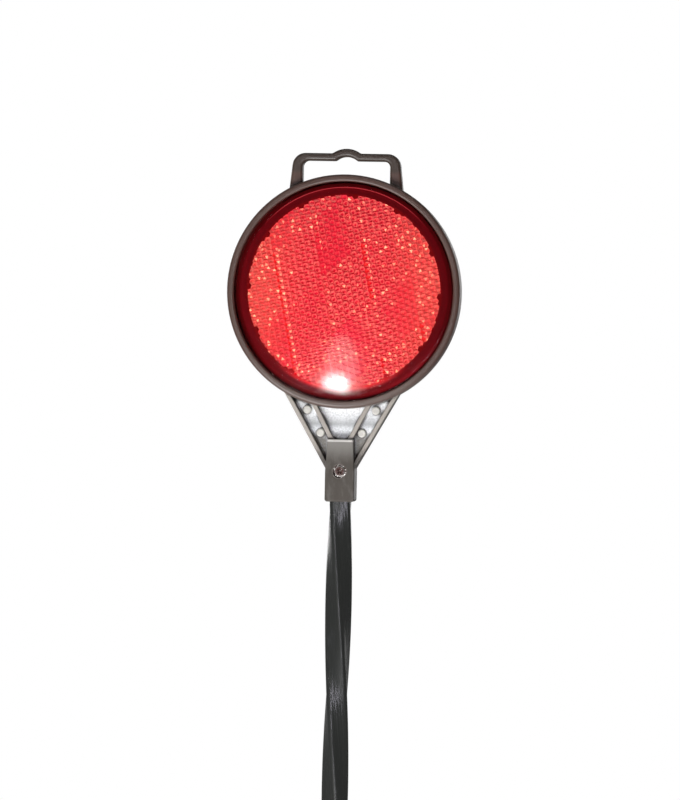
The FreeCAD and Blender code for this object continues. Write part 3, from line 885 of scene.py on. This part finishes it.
def add_prisms(lens, plane_depth):
    """Six half facets per prism; returns the prism area's border as vertices on the back plane."""
    chance = random.Random(SEED)
    directions = [PRISM_ROW_ANGLE + math.pi / 6 + number * math.pi / 3 for number in range(6)]
    border = {}
    for centre, tile, seam in prism_cells():
        look = tile_look(tile)
        apex_place = centre + look["cant"] * (1.0 + CANT_SPREAD * chance.uniform(-1, 1))
        apex, corners = prism_points(centre, apex_place, plane_depth, directions)
        likely = glint_chance(centre, look, seam)
        marks = half_facet_marks(chance, look, seam, likely, directions)
        for number in range(6):
            facet = [apex, corners[number], corners[(number + 1) % 6]]
            add_facet(lens, facet, marks[number], border)
    return close_prism_border(lens, border, plane_depth)


def close_prism_border(lens, border, plane_depth):
    """Small upright walls where the border lies below the back plane; returns the border in order."""
    after = {}
    for (one, two), (here, there) in border.items():
        top_one = lens.vertex(here[0], plane_depth, here[2])
        top_two = lens.vertex(there[0], plane_depth, there[2])
        wall = [two, one]
        if top_one != one:
            wall.append(top_one)
        if top_two != two:
            wall.append(top_two)
        if len(wall) > 2:
            lens.face(wall, lens.BAND)
        after[top_one] = top_two
    start = next(iter(after))
    loop = [start]
    while after[loop[-1]] != start:
        loop.append(after[loop[-1]])
    return loop


def add_band(lens, outer, inner):
    """The flat ring of the back plane between the skirt and the prisms."""
    numbers = outer + inner
    loops = []
    for ring in (outer, inner):
        loops.append([Vector((lens.vertices[n][0], lens.vertices[n][2], 0.0)) for n in ring])
    for triangle in tessellate_polygon(loops):
        lens.face([numbers[n] for n in triangle], lens.BAND)


def make_lens(node, materials, head_height):
    """A closed lens with real prisms in its back. The rear lens is the front one turned round."""
    low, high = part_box(node)
    radius = high.x / MM
    towards = 1 if low.y + high.y > 0 else -1
    depths = sorted(abs(value) / MM for value in (low.y, high.y))
    back_depth, face_depth = depths
    lens = LensMesh()
    skirt_ring = add_turned_outside(lens, lens_outline(radius, face_depth, back_depth))
    border = add_prisms(lens, face_depth - PRISM_PLANE_DROP)
    add_band(lens, skirt_ring, border)
    height = head_height / MM
    placed = [(-towards * x, towards * depth, height + up) for x, depth, up in lens.vertices]
    smooth = [kind == lens.OUTSIDE for kind in lens.kinds]
    piece = new_piece(node + "_prismatic", placed, lens.faces, lens.kinds, materials, smooth)
    for name in lens.MARKS:
        piece.data.attributes.new(name, "FLOAT", "FACE").data.foreach_set("value", lens.marks[name])
    piece.data.attributes.new("inward", "FLOAT", "CORNER").data.foreach_set("value", lens.inward)
    piece.data.attributes.new("ridge", "FLOAT", "CORNER").data.foreach_set("value", lens.ridge)
    stand_for(piece, node, "head", 35)


# ---------------------------------------------------------------- stake


def square_section(half, corner, corner_steps=6, flat_steps=5):
    """A rounded square, anticlockwise, as x and y pairs."""
    points = []
    for quarter in range(4):
        turn = math.pi / 2 * quarter
        inner = half - corner
        arc = [math.pi / 2 * step / corner_steps for step in range(corner_steps + 1)]
        local = [(inner + corner * math.cos(a), inner + corner * math.sin(a)) for a in arc]
        across = [inner - 2 * inner * step / flat_steps for step in range(1, flat_steps)]
        local += [(value, half) for value in across]
        points += [turned(x, y, turn) for x, y in local]
    return points


def stake_turn(height, mouth):
    """How far the bar has turned at a height, in radians: it starts square to the head."""
    if height >= mouth:
        return 0.0
    return 2 * math.pi * (mouth - max(height, TWIST_END)) / TWIST_PITCH


def stake_heights(top, mouth):
    """Heights to cut the bar at: fine where it twists, and few in the socket and the foot."""
    steps = int((mouth - TWIST_END) / STAKE_STEP)
    twisted = [TWIST_END + (mouth - TWIST_END) * step / steps for step in range(steps + 1)]
    point = [0.0, 0.4, 1.2, 4.0, 12.0, 24.0, 36.0]
    shoulder = [POINT_START - 0.6, POINT_START, POINT_START + 0.6]
    return point + shoulder + [50.0, 60.0] + twisted + [top - 0.4, top]


def stake_half_width(height, top):
    """Half the bar's width at a height: it runs to a blunt point, and its top edge is bevelled."""
    share = min(1.0, height / POINT_START)
    half = POINT_WIDTH / 2 + (STAKE_WIDTH / 2 - POINT_WIDTH / 2) * share
    if height < TIP_HEIGHT:
        half *= TIP_SHARE
    if height >= top:
        half -= TOP_BEVEL
    return half


def make_stake(paint, mouth):
    """The twisted bar, straight inside the head's socket, whose mouth is at a height in metres."""
    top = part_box("stake")[1].z / MM
    rings = []
    for height in stake_heights(top, mouth / MM):
        half = stake_half_width(height, top)
        section = square_section(half, min(STAKE_CORNER, half * CORNER_SHARE_AT_POINT))
        turn = stake_turn(height, mouth / MM)
        rings.append([(*turned(x, y, turn), height) for x, y in section])
    vertices, faces = loft(rings)
    piece = new_piece("stake_bar", vertices, faces, [0] * len(faces), [paint], [True] * len(faces))
    stand_for(piece, "stake", "stake", 40)


# ---------------------------------------------------------------- screw


def recess_depth(across, up):
    """Depth of the cross-shaped driver recess under a point of the screw head."""
    a = (across + up) / math.sqrt(2)
    b = (up - across) / math.sqrt(2)
    deepest = 0.0
    for along, beside in ((a, b), (b, a)):
        inside = max(0.0, min(1.0, (RECESS_WIDTH / 2 - abs(beside)) / RECESS_WALL + 0.5))
        reach = max(0.0, min(1.0, (RECESS_LENGTH / 2 - abs(along)) / RECESS_RAMP))
        deepest = max(deepest, inside * reach)
    return RECESS_DEPTH * deepest


def thread_radius(depth, turn):
    """Shank radius at a depth and angle, following a rounded helical thread."""
    phase = (depth / THREAD_PITCH - turn / (2 * math.pi)) % 1.0
    return SHANK_RADIUS - THREAD_DEPTH * (0.5 + 0.5 * math.cos(2 * math.pi * phase))


def screw_head_rings(turns, head_radius, face, under_head):
    """Rings from near the head's middle over its domed face and recess, round its edge and in below."""
    rings = []
    for step in range(1, DOME_RINGS + 1):
        radius = head_radius * DOME_SHARE * step / DOME_RINGS
        dome = DOME_DROP * (radius / head_radius) ** 2
        ring = ring_points(turns, radius, face - dome)
        rings.append([(across, up, depth - recess_depth(across, up)) for across, up, depth in ring])
    for share, drop in HEAD_EDGE:
        rings.append(ring_points(turns, head_radius * share, face - drop))
    rings.append(ring_points(turns, head_radius, under_head + UNDERSIDE_RISE))
    rings.append(ring_points(turns, head_radius - UNDERSIDE_WIDTH, under_head))
    rings.append(ring_points(turns, SHANK_RADIUS, under_head))
    return rings


def screw_shank_rings(turns, under_head, tip):
    """Rings down the threaded shank, which tapers a little to its flat end."""
    start = under_head - SHANK_START_GAP
    length = under_head - tip - SHANK_START_GAP - SHANK_END_GAP
    rows = round((under_head - tip) / THREAD_PITCH * THREAD_ROWS_PER_TURN)
    rings = []
    for row in range(rows + 1):
        depth = start - length * row / rows
        taper = min(1.0, (depth - tip) / TAPER_LENGTH + TAPER_SHARE)
        ring = []
        for turn in turns:
            radius = thread_radius(depth, turn) * taper
            ring.append((radius * math.cos(turn), radius * math.sin(turn), depth))
        rings.append(ring)
    rings.append(ring_points(turns, SHANK_END_RADIUS, tip))
    return rings


def make_screw(steel, recess_steel):
    """Pan head, cross recess and threaded shank as one closed skin."""
    low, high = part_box("clamp_screw")
    centre_height = (low.z + high.z) / 2 / MM
    face = -low.y / MM
    tip = -high.y / MM
    under_head = face - HEAD_HEIGHT
    turns = [2 * math.pi * step / SCREW_SEGMENTS for step in range(SCREW_SEGMENTS)]
    head_rings = screw_head_rings(turns, high.x / MM, face, under_head)
    vertices, faces = loft(head_rings + screw_shank_rings(turns, under_head, tip), closed_start=False)
    middle = len(vertices)
    vertices.append((0.0, 0.0, face - recess_depth(0.0, 0.0)))
    faces += [(middle, column, (column + 1) % SCREW_SEGMENTS) for column in range(SCREW_SEGMENTS)]
    lowest = under_head - RECESS_COLOUR_BELOW_HEAD
    sunk = [
        depth > lowest and recess_depth(across, up) > RECESS_COLOUR_DEPTH
        for across, up, depth in vertices
    ]
    numbers = [1 if all(sunk[n] for n in corners) else 0 for corners in faces]
    placed = [(across, -depth, centre_height + up) for across, up, depth in vertices]
    smooth = [True] * len(faces)
    piece = new_piece("clamp_screw_threaded", placed, faces, numbers, [steel, recess_steel], smooth)
    stand_for(piece, "clamp_screw", "screw", 38)


# ---------------------------------------------------------------- studio


def aim(thing, place, target):
    """Puts a camera or lamp at a place and points it at a target."""
    thing.location = place
    thing.rotation_mode = "QUATERNION"
    thing.rotation_quaternion = (Vector(target) - Vector(place)).to_track_quat("-Z", "Y")


def make_camera(head):
    """A long lens aimed between the head and the stake, and rolled a little."""
    aim_point = Vector((AIM_ASIDE, 0.0, head.z - AIM_BELOW_HEAD))
    back = Vector((math.sin(CAMERA_AZIMUTH), -math.cos(CAMERA_AZIMUTH), 0.0))
    data = bpy.data.cameras.new("camera")
    data.sensor_width = 36.0
    data.lens = data.sensor_width * CAMERA_DISTANCE / PICTURE_HEIGHT
    data.clip_start = 0.05
    data.clip_end = 50.0
    camera = add_object("camera", data)
    aim(camera, aim_point + back * CAMERA_DISTANCE, aim_point)
    camera.rotation_quaternion = camera.rotation_quaternion @ Quaternion((0, 0, 1), CAMERA_ROLL)
    bpy.context.scene.camera = camera
    return camera


def softbox(name, place, target, width, height, radiance, colour=(1, 1, 1), shape="RECTANGLE"):
    """A flat lamp of a given brightness, hidden from the camera."""
    data = bpy.data.lights.new(name, "AREA")
    data.shape = shape
    data.size = width
    data.size_y = height
    data.energy = radiance * 4.0 * width * height
    data.color = colour
    lamp = add_object(name, data)
    aim(lamp, place, target)
    lamp.visible_camera = False


def mirrored_place(camera, point, distance):
    """Where something must be for its reflection in an upright front face to show at point."""
    ray = (Vector(point) - camera.location).normalized()
    return Vector(point) + Vector((ray.x, -ray.y, ray.z)) * distance


def make_world():
    """White to the camera. As light it is a dim room, darkest in front, where the lens looks."""
    world = bpy.data.worlds.new("studio")
    world.use_nodes = True
    tree = world.node_tree
    tree.nodes.clear()
    seen = tree.nodes.new("ShaderNodeBackground")
    seen.inputs["Color"].default_value = (1, 1, 1, 1)
    direction = tree.nodes.new("ShaderNodeTexCoord")
    split = tree.nodes.new("ShaderNodeSeparateXYZ")
    shade = tree.nodes.new("ShaderNodeMapRange")
    shade.interpolation_type = "SMOOTHSTEP"
    for number, value in enumerate((-0.9, 0.4, ROOM_FRONT, ROOM_BACK), start=1):
        shade.inputs[number].default_value = value
    room = tree.nodes.new("ShaderNodeBackground")
    path = tree.nodes.new("ShaderNodeLightPath")
    choose = tree.nodes.new("ShaderNodeMixShader")
    output = tree.nodes.new("ShaderNodeOutputWorld")
    tree.links.new(direction.outputs["Generated"], split.inputs[0])
    tree.links.new(split.outputs[1], shade.inputs[0])
    tree.links.new(shade.outputs[0], room.inputs["Strength"])
    tree.links.new(path.outputs["Is Camera Ray"], choose.inputs[0])
    tree.links.new(room.outputs[0], choose.inputs[1])
    tree.links.new(seen.outputs[0], choose.inputs[2])
    tree.links.new(choose.outputs[0], output.inputs["Surface"])
    bpy.context.scene.world = world
    bpy.context.scene.view_settings.view_transform = "Standard"


def make_floor():
    """A pale matt floor under the point of the stake, which looks nearly even to the camera."""
    reach = FLOOR_REACH
    mesh = bpy.data.meshes.new("floor")
    corners = [(-reach, -reach, 0), (reach, -reach, 0), (reach, reach, 0), (-reach, reach, 0)]
    mesh.from_pydata(corners, [], [(0, 1, 2, 3)])
    floor = add_object("floor", mesh)
    make = Recipe("floor")
    shade = make.mix(make.noise(0.4, 2.0), (0.86, 0.86, 0.86), (0.90, 0.90, 0.90))
    matt = make.principled(shade, 0.9, specular=0.05)
    even = make.node("ShaderNodeEmission", {"Color": shade}).outputs[0]
    to_camera = make.node("ShaderNodeLightPath").outputs["Is Camera Ray"]
    seen = make.math("MULTIPLY", to_camera, FLOOR_EVENNESS)
    surface = make.node("ShaderNodeMixShader", {0: seen, 1: matt, 2: even}).outputs[0]
    mesh.materials.append(make.finish(surface))


def make_lamps(camera, head):
    """Lamps mirrored in the lens and the neck, fills that neither mirrors, and strips for the stake."""
    below = Vector((0, 0, -1))
    flash = mirrored_place(camera, head + Vector((-0.0018, 0.0, -0.0352)), 1.0)
    softbox("flash", flash, head, 0.0135, 0.0075, 60.0, shape="ELLIPSE")
    halo = mirrored_place(camera, head + Vector((0.0005, 0.0, -0.0275)), 1.0)
    softbox("halo", halo, head, 0.020, 0.034, 3.2, shape="ELLIPSE")
    sheen = mirrored_place(camera, head + Vector((0.0, 0.0, -0.0510)), 0.6)
    softbox("neck_sheen", sheen, head + 0.05 * below, 0.120, 0.015, 14.0)
    softbox("key", head + Vector((-0.75, -1.1, 0.50)), head, 0.6, 0.6, 1.5)
    softbox("ceiling", head + Vector((0.10, -0.50, 0.80)), head, 0.5, 0.14, 4.5)
    softbox("low_front", head + Vector((-0.25, -0.9, -0.62)), head, 0.7, 0.4, 12.0)
    for side in (-1, 1):
        place = head + Vector((side * 0.8, 1.15, 0.25))
        softbox(f"back_{side}", place, head + 0.3 * below, 0.8, 0.8, 2.6)
    for name, azimuth, low, width, height, radiance in (
        ("middle_strip", math.radians(6.5), 0.155, 0.06, 0.18, 16.0),
        ("left_strip", math.radians(-50), 0.135, 0.06, 0.07, 2.5),
    ):
        place = head + Vector((math.sin(azimuth), -math.cos(azimuth), -low))
        softbox(name, place, head + low * below, width, height, radiance, STAKE_LIGHT)


# ---------------------------------------------------------------- the scene


def main():
    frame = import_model()
    lens_low, lens_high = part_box("front_lens")
    head = Vector((0.0, 0.0, (lens_low.z + lens_high.z) / 2))
    shell_low, shell_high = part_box("front_shell")
    screw_low, screw_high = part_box("clamp_screw")
    screw_height = (screw_low.z + screw_high.z) / 2

    housing = housing_plastic(head.z, shell_high.x)
    finishes = {
        "front_shell": housing,
        "rear_shell": housing,
        "front_backing_plate": backing_plastic(),
        "rear_backing_plate": backing_plastic(),
        "neck_rivets": rivet_plastic(),
        "screw_washer": screw_steel("washer_steel", 0.20, screw_height, 0.0),
    }
    for node, finish in finishes.items():
        materials = frame["nodes"][node].data.materials
        materials.clear()
        materials.append(finish)

    lens_materials = [lens_front(head.z), lens_prisms(), lens_band(head.z)]
    for node in ("front_lens", "rear_lens"):
        make_lens(node, lens_materials, head.z)
    make_stake(stake_paint(shell_low.z), shell_low.z)
    bright_from = SCREW_BRIGHT_SHARE * screw_high.x
    plated = screw_steel("screw_plated", 0.02, screw_height, bright_from)
    make_screw(plated, screw_steel("screw_recess", 0.30, screw_height, bright_from))

    make_world()
    make_floor()
    camera = make_camera(head)
    make_lamps(camera, head)


main()
